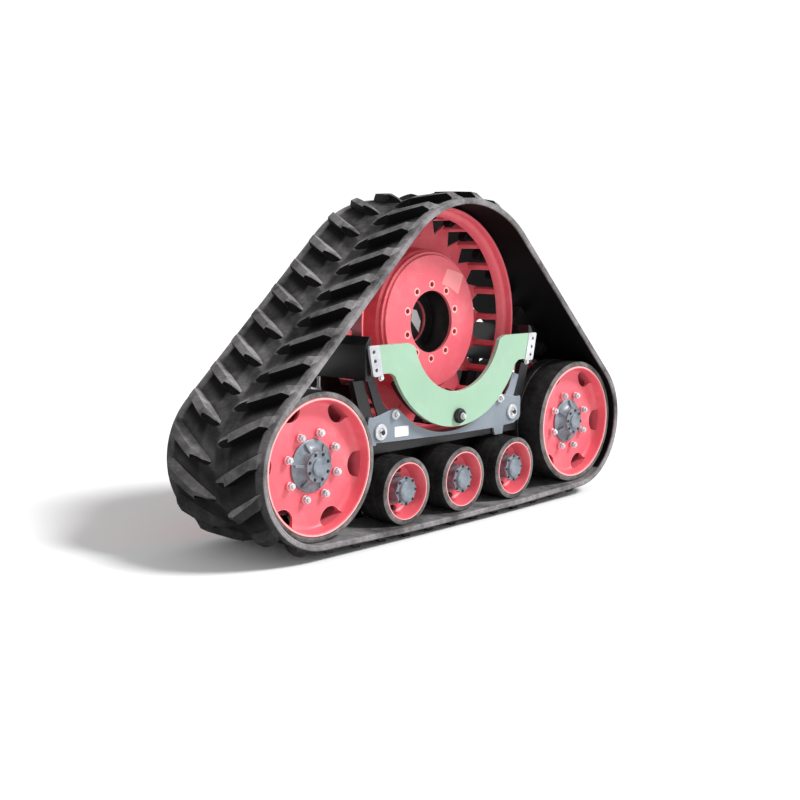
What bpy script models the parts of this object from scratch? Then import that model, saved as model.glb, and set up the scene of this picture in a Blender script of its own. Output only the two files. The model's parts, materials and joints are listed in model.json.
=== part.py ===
"""Triangular rubber track unit that replaces a driven wheel of a tractor or harvester.

A rubber belt runs round a driven cage wheel at the top, two pairs of idler wheels at the ends
and three pairs of rollers along the ground. X is the direction of travel, Y points from the
side with the mounting disc to the other side, and Z is up. The origin is on the ground, below
the drive axle.
"""

import math

import bmesh
import bpy
from mathutils import Vector

# Belt
BELT_WIDTH = 0.600
BELT_THICKNESS = 0.026
TREAD_HEIGHT = 0.030
TREAD_COUNT = 40
TREAD_SHARE = 0.38
TREAD_SLOPE = 0.010
TREAD_RAKE = 0.52
TREAD_START = 0.275
SHOULDER_Y = 0.245
TREAD_MIDDLE_Y = 0.150
TREAD_GAP_Y = 0.008
DRIVE_LUG_COUNT = 43
DRIVE_LUG_SHARE = 0.36
DRIVE_LUG_HEIGHT = 0.060
DRIVE_LUG_HALF_WIDTH = 0.030
DRIVE_LUG_SLOPE = 0.010

# Wheels
DRIVE_Z = 0.898
CAGE_RADIUS = 0.512
BELT_DRIVE_RADIUS = 0.520
BAR_COUNT = 24
IDLER_X = 0.869
IDLER_Z = 0.3735
IDLER_RADIUS = 0.300
IDLER_WIDTH = 0.200
IDLER_Y = 0.165
ROLLER_PITCH = 0.372
ROLLER_RADIUS = 0.148
ROLLER_WIDTH = 0.170
ROLLER_Y = 0.185
WHEEL_TO_BELT = 0.0015
ROLLER_Z = TREAD_HEIGHT + BELT_THICKNESS + WHEEL_TO_BELT + ROLLER_RADIUS

# Shafts and fits
GAP = 0.0005
HUB_CLEARANCE = 0.0014
IDLER_AXLE_RADIUS = 0.030
ROLLER_AXLE_RADIUS = 0.025
ROD_RADIUS = 0.022

# Frame, as distances from the middle plane of the belt
KEEL_HALF_WIDTH = 0.034
BEAM_Y = (0.137, 0.167)
SIDE_PLATE_Y = (0.168, 0.180)
YOKE_PLATE_Y = (0.210, 0.230)
BEAM_Z = (0.361, 0.415)

FACETS = 24
ROLLER_FACETS = 18
SMALL_FACETS = 12

RED = (0.62, 0.045, 0.055)
PALE_GREEN = (0.57, 0.78, 0.60)
GREY = (0.36, 0.39, 0.42)
CAST_GREY = (0.42, 0.45, 0.48)
BLACK = (0.012, 0.012, 0.014)
ZINC = (0.75, 0.76, 0.76)
RUBBER = (0.020, 0.020, 0.021)
TYRE = (0.030, 0.029, 0.029)


# ---------------------------------------------------------------- general helpers


def clear_scene():
    for item in list(bpy.data.objects):
        bpy.data.objects.remove(item, do_unlink=True)


def material(name, colour, roughness, metallic):
    made = bpy.data.materials.get(name)
    if made is None:
        made = bpy.data.materials.new(name)
        made.use_nodes = True
        shader = made.node_tree.nodes["Principled BSDF"]
        shader.inputs["Base Color"].default_value = (*colour, 1.0)
        shader.inputs["Roughness"].default_value = roughness
        shader.inputs["Metallic"].default_value = metallic
    return made


def finish_mesh(bm, name):
    bmesh.ops.recalc_face_normals(bm, faces=bm.faces)
    mesh = bpy.data.meshes.new(name)
    bm.to_mesh(mesh)
    bm.free()
    mesh.shade_smooth()
    mesh.set_sharp_from_angle(angle=math.radians(35))
    return mesh


def place(name, mesh, location=(0, 0, 0), turn=0.0):
    """Put one object in the scene, turned about its own Z axis."""
    made = bpy.data.objects.new(name, mesh)
    made.location = location
    made.rotation_euler = (0, 0, turn)
    bpy.context.collection.objects.link(made)
    return made


def paint(made, colour, roughness=0.45, metallic=0.0):
    made.data.materials.clear()
    made.data.materials.append(material(made.name + "_finish", colour, roughness, metallic))
    return made


def turned(name, profile, facets=FACETS):
    """A mesh turned about Y from (y, radius) points; a radius of 0 closes on the axis."""
    bm = bmesh.new()
    rings = []
    for y, radius in profile:
        if radius == 0:
            rings.append([bm.verts.new((0, y, 0))])
            continue
        ring = []
        for i in range(facets):
            angle = 2 * math.pi * i / facets
            ring.append(bm.verts.new((radius * math.cos(angle), y, radius * math.sin(angle))))
        rings.append(ring)
    on_axis = profile[0][1] == 0
    count = len(rings) - 1 if on_axis else len(rings)
    for i in range(count):
        join_rings(bm, rings[i], rings[(i + 1) % len(rings)])
    return finish_mesh(bm, name)


def join_rings(bm, one, two):
    for i in range(max(len(one), len(two))):
        corners = [one[i % len(one)], one[(i + 1) % len(one)]]
        corners += [two[(i + 1) % len(two)], two[i % len(two)]]
        bm.faces.new(list(dict.fromkeys(corners)))


def extruded(name, outline, y_low, y_high):
    """A flat plate whose outline is a list of (x, z) points."""
    bm = bmesh.new()
    front = [bm.verts.new((x, y_low, z)) for x, z in outline]
    back = [bm.verts.new((x, y_high, z)) for x, z in outline]
    bm.faces.new(front)
    bm.faces.new(list(reversed(back)))
    for i in range(len(outline)):
        j = (i + 1) % len(outline)
        bm.faces.new((front[i], front[j], back[j], back[i]))
    return finish_mesh(bm, name)


def block(name, low, high):
    outline = [(low[0], low[2]), (high[0], low[2]), (high[0], high[2]), (low[0], high[2])]
    return extruded(name, outline, low[1], high[1])


def arc(centre, radius, start, end, steps):
    """Points on an arc, angles in degrees from +X towards +Z."""
    points = []
    for i in range(steps + 1):
        angle = math.radians(start + (end - start) * i / steps)
        points.append((centre[0] + radius * math.cos(angle), centre[1] + radius * math.sin(angle)))
    return points


def polar(radius, degrees):
    angle = math.radians(degrees)
    return (radius * math.cos(angle), radius * math.sin(angle))


def round_bar(name, radius, y_low, y_high, facets=SMALL_FACETS):
    return turned(name, [(y_low, 0), (y_low, radius), (y_high, radius), (y_high, 0)], facets)


def merged(name, meshes):
    """One mesh holding several separate solids, each given as (mesh, location)."""
    bm = bmesh.new()
    for mesh, location in meshes:
        before = len(bm.verts)
        bm.from_mesh(mesh)
        bm.verts.ensure_lookup_table()
        bmesh.ops.translate(bm, verts=bm.verts[before:], vec=Vector(location))
    result = bpy.data.meshes.new(name)
    bm.to_mesh(result)
    bm.free()
    return result


def combined(mesh, tool, operation):
    """The first mesh with the second cut out of it or united with it."""
    body = place("boolean_body", mesh)
    other = place("boolean_tool", tool)
    modifier = body.modifiers.new("boolean", "BOOLEAN")
    modifier.operation = operation
    modifier.solver = "EXACT"
    modifier.object = other
    bpy.context.view_layer.update()
    graph = bpy.context.evaluated_depsgraph_get()
    result = bpy.data.meshes.new_from_object(body.evaluated_get(graph))
    bpy.data.objects.remove(body)
    bpy.data.objects.remove(other)
    result.name = mesh.name
    result.shade_smooth()
    result.set_sharp_from_angle(angle=math.radians(35))
    return result


def drilled(mesh, holes, y_low, y_high, facets=SMALL_FACETS):
    """The mesh with holes along Y, each given as (x, z, radius)."""
    cutters = []
    for x, z, radius in holes:
        cutters.append((round_bar("cutter", radius, y_low, y_high, facets), (x, 0, z)))
    return combined(mesh, merged("cutters", cutters), "DIFFERENCE")


def around(count, radius, start=0.0):
    """(x, z) points evenly spaced round a circle."""
    angles = [start + 2 * math.pi * i / count for i in range(count)]
    return [(radius * math.cos(angle), radius * math.sin(angle)) for angle in angles]


# ---------------------------------------------------------------- belt


def belt_circles():
    """The wheels the belt bends round, anticlockwise from the drive wheel, seen from -Y."""
    idler = IDLER_RADIUS + WHEEL_TO_BELT
    roller = ROLLER_RADIUS + WHEEL_TO_BELT
    return [
        (Vector((0, DRIVE_Z)), BELT_DRIVE_RADIUS),
        (Vector((-IDLER_X, IDLER_Z)), idler),
        (Vector((-ROLLER_PITCH, ROLLER_Z)), roller),
        (Vector((ROLLER_PITCH, ROLLER_Z)), roller),
        (Vector((IDLER_X, IDLER_Z)), idler),
    ]


def belt_segments():
    """Arcs and straight runs of the belt's inner face, starting at the top of the drive."""
    circles = belt_circles()
    leaving = []
    for i, (centre, radius) in enumerate(circles):
        other, other_radius = circles[(i + 1) % len(circles)]
        across = other - centre
        angle = math.atan2(across.y, across.x) - math.acos((radius - other_radius) / across.length)
        leaving.append(angle % (2 * math.pi))
    top = math.pi / 2
    segments = []
    at = top
    for i, (centre, radius) in enumerate(circles):
        turn = (leaving[i] - at) % (2 * math.pi)
        segments.append(("arc", centre, radius, at, turn))
        normal = Vector((math.cos(leaving[i]), math.sin(leaving[i])))
        other, other_radius = circles[(i + 1) % len(circles)]
        segments.append(("run", centre + radius * normal, other + other_radius * normal, normal))
        at = leaving[i]
    centre, radius = circles[0]
    segments.append(("arc", centre, radius, at, (top - at) % (2 * math.pi)))
    return segments


def segment_length(segment):
    if segment[0] == "arc":
        return (segment[2] + BELT_THICKNESS / 2) * segment[4]
    return (segment[2] - segment[1]).length


def belt_point(segments, along, outward):
    """The point a distance along the belt's middle line, moved outward from its inner face."""
    along %= sum(segment_length(segment) for segment in segments)
    for segment in segments:
        length = segment_length(segment)
        if along <= length:
            break
        along -= length
    if segment[0] == "arc":
        angle = segment[3] + segment[4] * along / length
        return segment[1] + (segment[2] + outward) * Vector((math.cos(angle), math.sin(angle)))
    return segment[1].lerp(segment[2], along / length) + outward * segment[3]


class Belt:
    """Builds the belt as one closed mesh: carcass, tread lugs and drive lugs."""

    def __init__(self):
        self.segments = belt_segments()
        self.length = sum(segment_length(segment) for segment in self.segments)
        self.bm = bmesh.new()
        self.edge = BELT_WIDTH / 2

    def vertex(self, along, y, outward):
        point = belt_point(self.segments, along, outward)
        return self.bm.verts.new((point.x, y, point.y))

    def quad(self, *corners):
        self.bm.faces.new(corners)

    def strip(self, one, two, skip=None):
        """Quads between two loops of (distance, vertex), leaving out the skipped cells."""
        for i in range(len(one)):
            j = (i + 1) % len(one)
            if skip is None or i % skip[0] != skip[1]:
                self.quad(one[i][1], one[j][1], two[j][1], two[i][1])

    def lace(self, one, two):
        """Triangles between two loops whose points don't match."""
        one = sorted((along % self.length, vertex) for along, vertex in one_keyed(one))
        two = sorted((along % self.length, vertex) for along, vertex in one_keyed(two))
        events = [(a, 0, i) for i, (a, _) in enumerate(one)]
        events = sorted(events + [(a, 1, i) for i, (a, _) in enumerate(two)])
        loops = (one, two)
        last = [one[-1][1][1], two[-1][1][1]]
        for _, which, i in events:
            new = loops[which][i][1][1]
            self.bm.faces.new((last[which], new, last[1 - which]))
            last[which] = new

    def tread_half(self, side, shift):
        """One half of the outer face; side is -1 or 1, shift a part of the tread pitch."""
        pitch = self.length / TREAD_COUNT
        columns = [self.edge, TREAD_MIDDLE_Y, TREAD_GAP_Y]
        loops = [[] for _ in columns]
        for k in range(TREAD_COUNT):
            for share in (0.0, TREAD_SHARE):
                centre = (TREAD_START + shift + k + share) * pitch
                for loop, y in zip(loops, columns):
                    along = centre - TREAD_RAKE * y
                    loop.append((along, self.vertex(along, side * y, BELT_THICKNESS)))
        for one, two in zip(loops, loops[1:]):
            self.strip(one, two, skip=(2, 0))
        for k in range(TREAD_COUNT):
            self.tread_lug(side, (TREAD_START + shift + k) * pitch, pitch, loops, 2 * k)
        return loops

    def tread_lug(self, side, start, pitch, loops, i):
        ends = []
        tops = (SHOULDER_Y, TREAD_MIDDLE_Y, TREAD_GAP_Y + TREAD_SLOPE)
        for part, inset in ((0.0, TREAD_SLOPE), (TREAD_SHARE, -TREAD_SLOPE)):
            row = []
            for y in tops:
                along = start + part * pitch + inset - TREAD_RAKE * y
                row.append(self.vertex(along, side * y, BELT_THICKNESS + TREAD_HEIGHT))
            ends.append(row)
        base = [[loop[i + k][1] for loop in loops] for k in (0, 1)]
        for k in (0, 1):
            for j in (0, 1):
                self.quad(base[k][j], base[k][j + 1], ends[k][j + 1], ends[k][j])
        for j in (0, 1):
            self.quad(ends[0][j], ends[0][j + 1], ends[1][j + 1], ends[1][j])
        self.quad(base[0][0], base[1][0], ends[1][0], ends[0][0])
        self.quad(base[0][2], base[1][2], ends[1][2], ends[0][2])

    def inner_face(self):
        pitch = self.length / DRIVE_LUG_COUNT
        columns = [-self.edge, -DRIVE_LUG_HALF_WIDTH, DRIVE_LUG_HALF_WIDTH, self.edge]
        shares = (0.0, DRIVE_LUG_SHARE, (1 + DRIVE_LUG_SHARE) / 2)
        loops = [[] for _ in columns]
        start = 0.5 - DRIVE_LUG_SHARE / 2
        for k in range(DRIVE_LUG_COUNT):
            for share in shares:
                along = (start + k + share) * pitch
                for loop, y in zip(loops, columns):
                    loop.append((along, self.vertex(along, y, 0.0)))
        self.strip(loops[0], loops[1])
        self.strip(loops[1], loops[2], skip=(3, 0))
        self.strip(loops[2], loops[3])
        for k in range(DRIVE_LUG_COUNT):
            self.drive_lug((start + k) * pitch, pitch, loops, 3 * k)
        return loops[0], loops[3]

    def drive_lug(self, start, pitch, loops, i):
        base = [loops[1][i][1], loops[1][i + 1][1], loops[2][i + 1][1], loops[2][i][1]]
        near = start + DRIVE_LUG_SLOPE
        far = start + DRIVE_LUG_SHARE * pitch - DRIVE_LUG_SLOPE
        half = DRIVE_LUG_HALF_WIDTH - DRIVE_LUG_SLOPE
        corners = ((near, -half), (far, -half), (far, half), (near, half))
        top = [self.vertex(along, y, -DRIVE_LUG_HEIGHT) for along, y in corners]
        self.quad(*top)
        for k in range(4):
            self.quad(base[k], base[(k + 1) % 4], top[(k + 1) % 4], top[k])

    def build(self):
        near = self.tread_half(-1, 0.0)
        far = self.tread_half(1, 0.5)
        self.lace(near[2], far[2])
        inner_near, inner_far = self.inner_face()
        self.lace(near[0], inner_near)
        self.lace(far[0], inner_far)
        return finish_mesh(self.bm, "rubber_belt")


def one_keyed(loop):
    """The loop with an index after each distance, so that sorting never compares vertices."""
    return [(along, (i, vertex)) for i, (along, vertex) in enumerate(loop)]


def make_belt():
    paint(place("rubber_belt", Belt().build()), RUBBER, 0.85)


# ---------------------------------------------------------------- drive wheel


def star_outline():
    """The web plate's edge: a point at each bar and a notch between each two."""
    points = []
    step = 360 / BAR_COUNT
    for i in range(BAR_COUNT):
        for offset, radius in ((-2.2, 0.500), (2.2, 0.500), (4.5, 0.455), (step - 4.5, 0.455)):
            points.append(polar(radius, i * step + offset))
    return points


def make_drive_cage():
    ring = turned(
        "drive_cage",
        [
            (-0.130, CAGE_RADIUS),
            (-0.061, CAGE_RADIUS - 0.008),
            (-0.061, 0.468),
            (-0.095, 0.478),
            (-0.099, 0.496),
            (-0.130, 0.500),
        ],
        BAR_COUNT * 2,
    )
    web = extruded("web", star_outline(), 0.067, 0.081)
    web = drilled(web, [(0, 0, 0.100)], 0.05, 0.10, FACETS)
    bar = block("bar", (0.472, -0.075, -0.015), (0.502, 0.075, 0.015))
    cage = combined(ring, web, "UNION")
    bars = bmesh.new()
    for i in range(BAR_COUNT):
        start = len(bars.verts)
        bars.from_mesh(bar)
        bars.verts.ensure_lookup_table()
        angle = 2 * math.pi * i / BAR_COUNT
        for vertex in bars.verts[start:]:
            x, y, z = vertex.co
            vertex.co = (
                x * math.cos(angle) - z * math.sin(angle),
                y,
                x * math.sin(angle) + z * math.cos(angle),
            )
    cage = combined(cage, finish_mesh(bars, "bars"), "UNION")
    cage.name = "drive_cage"
    paint(place("drive_cage", cage, (0, 0, DRIVE_Z)), RED)


def make_hub_drum():
    """The dished drum whose front face bolts to the axle flange."""
    profile = [
        (-0.065, 0.1405),
        (-0.065, 0.300),
        (-0.051, 0.304),
        (-0.051, 0.313),
        (-0.035, 0.313),
        (-0.025, 0.322),
        (0.0665, 0.332),
        (0.0665, 0.316),
        (-0.019, 0.306),
        (-0.049, 0.290),
        (-0.049, 0.1405),
    ]
    holes = [(x, z, 0.0115) for x, z in around(10, 0.1675, math.radians(18))]
    drum = drilled(turned("hub_drum", profile, 28), holes, -0.08, -0.03, 6)
    paint(place("hub_drum", drum, (0, 0, DRIVE_Z)), RED)


def make_spindle():
    profile = [
        (0.0815, 0.0),
        (0.0815, 0.160),
        (0.097, 0.160),
        (0.101, 0.110),
        (0.221, 0.110),
        (0.221, 0.060),
        (0.231, 0.055),
        (0.231, 0.0),
    ]
    paint(place("drive_spindle", turned("drive_spindle", profile, 24), (0, 0, DRIVE_Z)), CAST_GREY)
    race = [(0.173, 0.1112), (0.173, 0.1395), (0.209, 0.1395), (0.209, 0.1112)]
    paint(place("drive_bearing", turned("drive_bearing", race, 24), (0, 0, DRIVE_Z)), ZINC, 0.25, 0.9)


# ---------------------------------------------------------------- idlers and rollers


def idler_rim_mesh():
    profile = [
        (-0.100, 0.2775),
        (0.100, 0.2775),
        (0.100, 0.266),
        (-0.022, 0.262),
        (-0.028, 0.222),
        (-0.028, 0.0628),
        (-0.040, 0.0628),
        (-0.040, 0.218),
        (-0.034, 0.252),
        (-0.100, 0.265),
    ]
    rim = turned("idler_rim", profile)
    studs = []
    for x, z in around(8, 0.1375, math.radians(28)):
        studs.append((round_bar("stud", 0.014, -0.066, -0.034, 6), (x, 0, z)))
    rim = combined(rim, merged("studs", studs), "UNION")
    window = [(0.251, -13), (0.251, 13), (0.222, 12), (0.205, 0), (0.222, -12)]
    cutters = []
    for i in range(6):
        middle = 60 * i - 5.5
        outline = [polar(radius, middle + angle) for radius, angle in window]
        cutters.append((extruded("window", outline, -0.055, -0.010), (0, 0, 0)))
    return combined(rim, merged("windows", cutters), "DIFFERENCE")


def tyre_mesh(name, inner, outer, width, facets):
    half = width / 2
    edge = 0.006
    profile = [
        (-half, inner),
        (half, inner),
        (half, outer - edge),
        (half - edge, outer),
        (edge - half, outer),
        (-half, outer - edge),
    ]
    return turned(name, profile, facets)


def idler_hub_mesh():
    bore = IDLER_AXLE_RADIUS + HUB_CLEARANCE
    profile = [
        (-0.080, 0.0),
        (-0.080, bore),
        (0.1205, bore),
        (0.1205, 0.062),
        (-0.0405, 0.062),
        (-0.0405, 0.105),
        (-0.0470, 0.105),
        (-0.0540, 0.088),
        (-0.0800, 0.062),
        (-0.0900, 0.062),
        (-0.0900, 0.040),
        (-0.1000, 0.037),
        (-0.1000, 0.0),
    ]
    return turned("idler_hub", profile, ROLLER_FACETS)


def make_idlers():
    rim = idler_rim_mesh()
    tyre = tyre_mesh("idler_tyre", 0.278, IDLER_RADIUS, IDLER_WIDTH, FACETS)
    hub = idler_hub_mesh()
    axle = round_bar("idler_axle", IDLER_AXLE_RADIUS, -0.240, 0.240)
    for end, x in (("front", -IDLER_X), ("rear", IDLER_X)):
        for side, y, turn in (("near", -IDLER_Y, 0.0), ("far", IDLER_Y, math.pi)):
            name = f"{end}_idler_{side}"
            at = (x, y, IDLER_Z)
            paint(place(name + "_rim", rim.copy(), at, turn), RED)
            paint(place(name + "_tyre", tyre.copy(), at, turn), TYRE, 0.8)
            paint(place(name + "_hub", hub.copy(), at, turn), CAST_GREY, 0.5, 0.3)
        paint(place(end + "_idler_axle", axle.copy(), (x, 0, IDLER_Z)), ZINC, 0.35, 0.8)


def roller_rim_mesh():
    profile = [
        (-0.085, 0.1245),
        (0.085, 0.1245),
        (0.085, 0.114),
        (0.012, 0.108),
        (0.006, 0.065),
        (-0.006, 0.065),
        (-0.004, 0.104),
        (-0.085, 0.116),
    ]
    return turned("roller_rim", profile, ROLLER_FACETS)


def roller_hub_mesh():
    bore = ROLLER_AXLE_RADIUS + HUB_CLEARANCE
    profile = [
        (-0.060, 0.0),
        (-0.060, bore),
        (0.140, bore),
        (0.140, 0.052),
        (0.0065, 0.052),
        (0.0065, 0.0635),
        (-0.0065, 0.0635),
        (-0.0065, 0.053),
        (-0.067, 0.053),
        (-0.069, 0.063),
        (-0.077, 0.063),
        (-0.079, 0.044),
        (-0.088, 0.040),
        (-0.088, 0.0),
    ]
    return turned("roller_hub", profile, SMALL_FACETS)


def make_rollers():
    rim = roller_rim_mesh()
    tyre = tyre_mesh("roller_tyre", 0.125, ROLLER_RADIUS, ROLLER_WIDTH, ROLLER_FACETS)
    hub = roller_hub_mesh()
    axle = round_bar("roller_axle", ROLLER_AXLE_RADIUS, -0.240, 0.240)
    for number, x in enumerate((-ROLLER_PITCH, 0.0, ROLLER_PITCH), 1):
        for side, y, turn in (("near", -ROLLER_Y, 0.0), ("far", ROLLER_Y, math.pi)):
            name = f"roller_{number}_{side}"
            at = (x, y, ROLLER_Z)
            paint(place(name + "_rim", rim.copy(), at, turn), RED)
            paint(place(name + "_tyre", tyre.copy(), at, turn), TYRE, 0.8)
            paint(place(name + "_hub", hub.copy(), at, turn), CAST_GREY, 0.5, 0.3)
        paint(place(f"roller_{number}_axle", axle.copy(), (x, 0, ROLLER_Z)), ZINC, 0.35, 0.8)


# ---------------------------------------------------------------- frame


def make_keel():
    """The black middle beam that carries the roller axles and the rear idler axle."""
    outline = [(-0.515, 0.160), (0.600, 0.160)]
    outline += [(0.800, 0.285)] + arc((IDLER_X, IDLER_Z), 0.085, -75, 90, 6)
    outline += [(0.640, 0.435), (0.540, 0.370), (-0.190, 0.370), (-0.200, 0.333), (-0.515, 0.333)]
    keel = extruded("centre_keel", outline, -KEEL_HALF_WIDTH, KEEL_HALF_WIDTH)
    holes = [(x, ROLLER_Z, ROLLER_AXLE_RADIUS + GAP) for x in (-ROLLER_PITCH, 0, ROLLER_PITCH)]
    holes.append((IDLER_X, IDLER_Z, IDLER_AXLE_RADIUS + GAP))
    keel = drilled(keel, holes, -0.05, 0.05)
    paint(place("centre_keel", keel), BLACK, 0.4)


def make_tensioner():
    """The fork that carries the front idlers, its rod, and the cylinder fixed to the keel."""
    outline = arc((-IDLER_X, IDLER_Z), 0.085, 90, 270, 8)
    outline += [(-0.600, 0.320), (-0.565, 0.337), (-0.565, 0.410), (-0.600, 0.427)]
    yoke = extruded("tension_yoke", outline, -KEEL_HALF_WIDTH, KEEL_HALF_WIDTH)
    yoke = drilled(yoke, [(-IDLER_X, IDLER_Z, IDLER_AXLE_RADIUS + GAP)], -0.05, 0.05)
    paint(place("tension_yoke", yoke), BLACK, 0.4)
    rod = round_bar("tension_rod", ROD_RADIUS, -0.5645, -0.330, 16)
    at = (0, 0, IDLER_Z)
    paint(place("tension_rod", turned_to_x(rod), at), ZINC, 0.15, 1.0)
    bore = ROD_RADIUS + GAP
    profile = [(-0.280, 0.0), (-0.280, bore), (-0.446, bore), (-0.446, 0.039)]
    barrel = turned("tension_barrel", profile + [(-0.205, 0.039), (-0.205, 0.0)], 16)
    paint(place("tension_barrel", turned_to_x(barrel), at), BLACK, 0.35)


def turned_to_x(mesh):
    """The mesh with its Y axis laid along X."""
    for vertex in mesh.vertices:
        x, y, z = vertex.co
        vertex.co = (y, -x, z)
    return mesh


def make_cross_members():
    """Lower cross members between the side beams, on the keel, and the upper box beams."""
    inner = BEAM_Y[0] - GAP
    front = block("front_cross_member", (-0.512, -inner, 0.3335), (-0.450, inner, BEAM_Z[1]))
    bore = turned_to_x(round_bar("cutter", ROD_RADIUS + 0.003, -0.55, -0.42, 16))
    for vertex in bore.vertices:
        vertex.co.z += IDLER_Z
    paint(place("front_cross_member", combined(front, bore, "DIFFERENCE")), BLACK, 0.4)
    rear = block("rear_cross_member", (0.440, -inner, 0.3705), (0.510, inner, BEAM_Z[1]))
    paint(place("rear_cross_member", rear), BLACK, 0.4)
    for name, side in (("front_box_beam", -1), ("rear_box_beam", 1)):
        outline = [(0.535, 0.685), (0.655, 0.685), (0.655, 0.800), (0.590, 0.866), (0.535, 0.866)]
        mesh = extruded(name, [(side * x, z) for x, z in outline], -0.2095, 0.2095)
        paint(place(name, mesh), BLACK, 0.4)


def side_frame_outline():
    """Lower beam with an arm at each end that rises to the box beams, seen along Y."""
    low, high = BEAM_Z
    right = [(0.500, low), (0.545, 0.505), (0.600, 0.6845), (0.537, 0.6845), (0.500, 0.585), (0.440, high)]
    left = [(-x, z) for x, z in reversed(right)]
    return right + left


def make_side_frames():
    for name, side in (("near_side_frame", -1), ("far_side_frame", 1)):
        low, high = sorted((side * BEAM_Y[0], side * BEAM_Y[1]))
        paint(place(name, extruded(name, side_frame_outline(), low, high)), BLACK, 0.4)


def side_plate_outline():
    """Grey plate with a hollow top edge that follows the drive wheel, and two raised arms."""
    points = [(-0.520, 0.415), (-0.470, 0.400), (0.320, 0.393), (0.335, 0.357), (0.385, 0.357)]
    points += [(0.395, 0.397), (0.470, 0.400), (0.520, 0.415), (0.520, 0.515), (0.500, 0.530)]
    arm = [(0.440, 0.532), (0.508, 0.632), (0.533, 0.705), (0.485, 0.705), (0.455, 0.632)]
    arm += [(0.400, 0.552), (0.345, 0.530)]
    points += arm + arc((0, DRIVE_Z), 0.487, -52, -128, 14)
    points += [(-x, z) for x, z in reversed(arm)]
    points += [(-0.500, 0.530), (-0.520, 0.515)]
    return points


def make_side_plates():
    pins = [(-0.450, 0.457, 0.017), (0.450, 0.457, 0.017)]
    for name, side in (("near_side_plate", -1), ("far_side_plate", 1)):
        low, high = sorted((side * SIDE_PLATE_Y[0], side * SIDE_PLATE_Y[1]))
        plate = extruded(name, side_plate_outline(), low, high)
        plate = drilled(plate, pins, low - 0.01, high + 0.01, 16)
        paint(place(name, plate), GREY, 0.4)
    washer = [(-0.203, 0.0), (-0.203, 0.016), (-0.193, 0.016), (-0.191, 0.036), (-0.1805, 0.036)]
    washer += [(-0.1805, 0.0165), (-0.1675, 0.0165), (-0.1675, 0.0)]
    for name, x in (("front_frame_pin", -0.450), ("rear_frame_pin", 0.450)):
        paint(place(name, turned(name, washer, 16), (x, 0, 0.457)), ZINC, 0.3, 0.9)


def make_yoke_plate():
    """Pale green C-shaped plate that goes round the axle housing, and its bottom bolt."""
    centre = (0, DRIVE_Z)
    points = [(-0.510, 0.830), (-0.510, 0.710), (-0.435, 0.710)]
    points += arc(centre, 0.458, 205, 335, 16)
    points += [(0.435, 0.710), (0.510, 0.710), (0.510, 0.830), (0.310, 0.830)]
    points += arc(centre, 0.300, -16, -164, 16)
    points += [(-0.310, 0.830)]
    plate = extruded("yoke_plate", points, -YOKE_PLATE_Y[1], -YOKE_PLATE_Y[0])
    plate = drilled(plate, [(0, 0.488, 0.0145)], -0.25, -0.19, 16)
    paint(place("yoke_plate", plate), PALE_GREEN, 0.5)
    bolt = [(-0.255, 0.0), (-0.255, 0.020), (-0.247, 0.034), (-0.2305, 0.034), (-0.2305, 0.014)]
    bolt += [(-0.2105, 0.014), (-0.2105, 0.0)]
    paint(place("yoke_bush", turned("yoke_bush", bolt, 16), (0, 0, 0.488)), BLACK, 0.6)
    band = arc(centre, 0.452, 212, 328, 14) + arc(centre, 0.400, 328, 212, 14)
    paint(place("yoke_backing", extruded("yoke_backing", band, -0.2095, -0.183)), BLACK, 0.5)


def make_slot_brackets():
    """Zinc plates with three slots that bolt the green plate's ends to the box beams."""
    for name, side in (("front_slot_bracket", -1), ("rear_slot_bracket", 1)):
        low, high = sorted((side * 0.5105, side * 0.570))
        plate = block(name, (low, -0.232, 0.701), (high, -0.212, 0.831))
        slots = [(side * 0.545, z, 0.006) for z in (0.730, 0.767, 0.804)]
        plate = drilled(plate, slots, -0.25, -0.20, 8)
        paint(place(name, plate), ZINC, 0.35, 0.6)


def make_bearing_carrier():
    """Plate on the far side that carries the drive bearing."""
    centre = (0, DRIVE_Z)
    points = arc(centre, 0.195, 215, -35, 14)
    points += [(0.440, 0.684), (0.533, 0.684), (0.533, 0.485), (-0.533, 0.485), (-0.533, 0.684)]
    points += [(-0.440, 0.684)]
    carrier = extruded("bearing_carrier", points, 0.1805, 0.208)
    carrier = drilled(carrier, [(0, DRIVE_Z, 0.140)], 0.15, 0.25, 24)
    paint(place("bearing_carrier", carrier), BLACK, 0.4)


def main():
    clear_scene()
    make_belt()
    make_drive_cage()
    make_hub_drum()
    make_spindle()
    make_idlers()
    make_rollers()
    make_keel()
    make_tensioner()
    make_cross_members()
    make_side_frames()
    make_side_plates()
    make_yoke_plate()
    make_slot_brackets()
    make_bearing_carrier()


main()
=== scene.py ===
"""Looks of the triangular rubber track unit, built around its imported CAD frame."""

import json
import math

import bmesh
import bpy
from mathutils import Matrix, Vector


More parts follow.
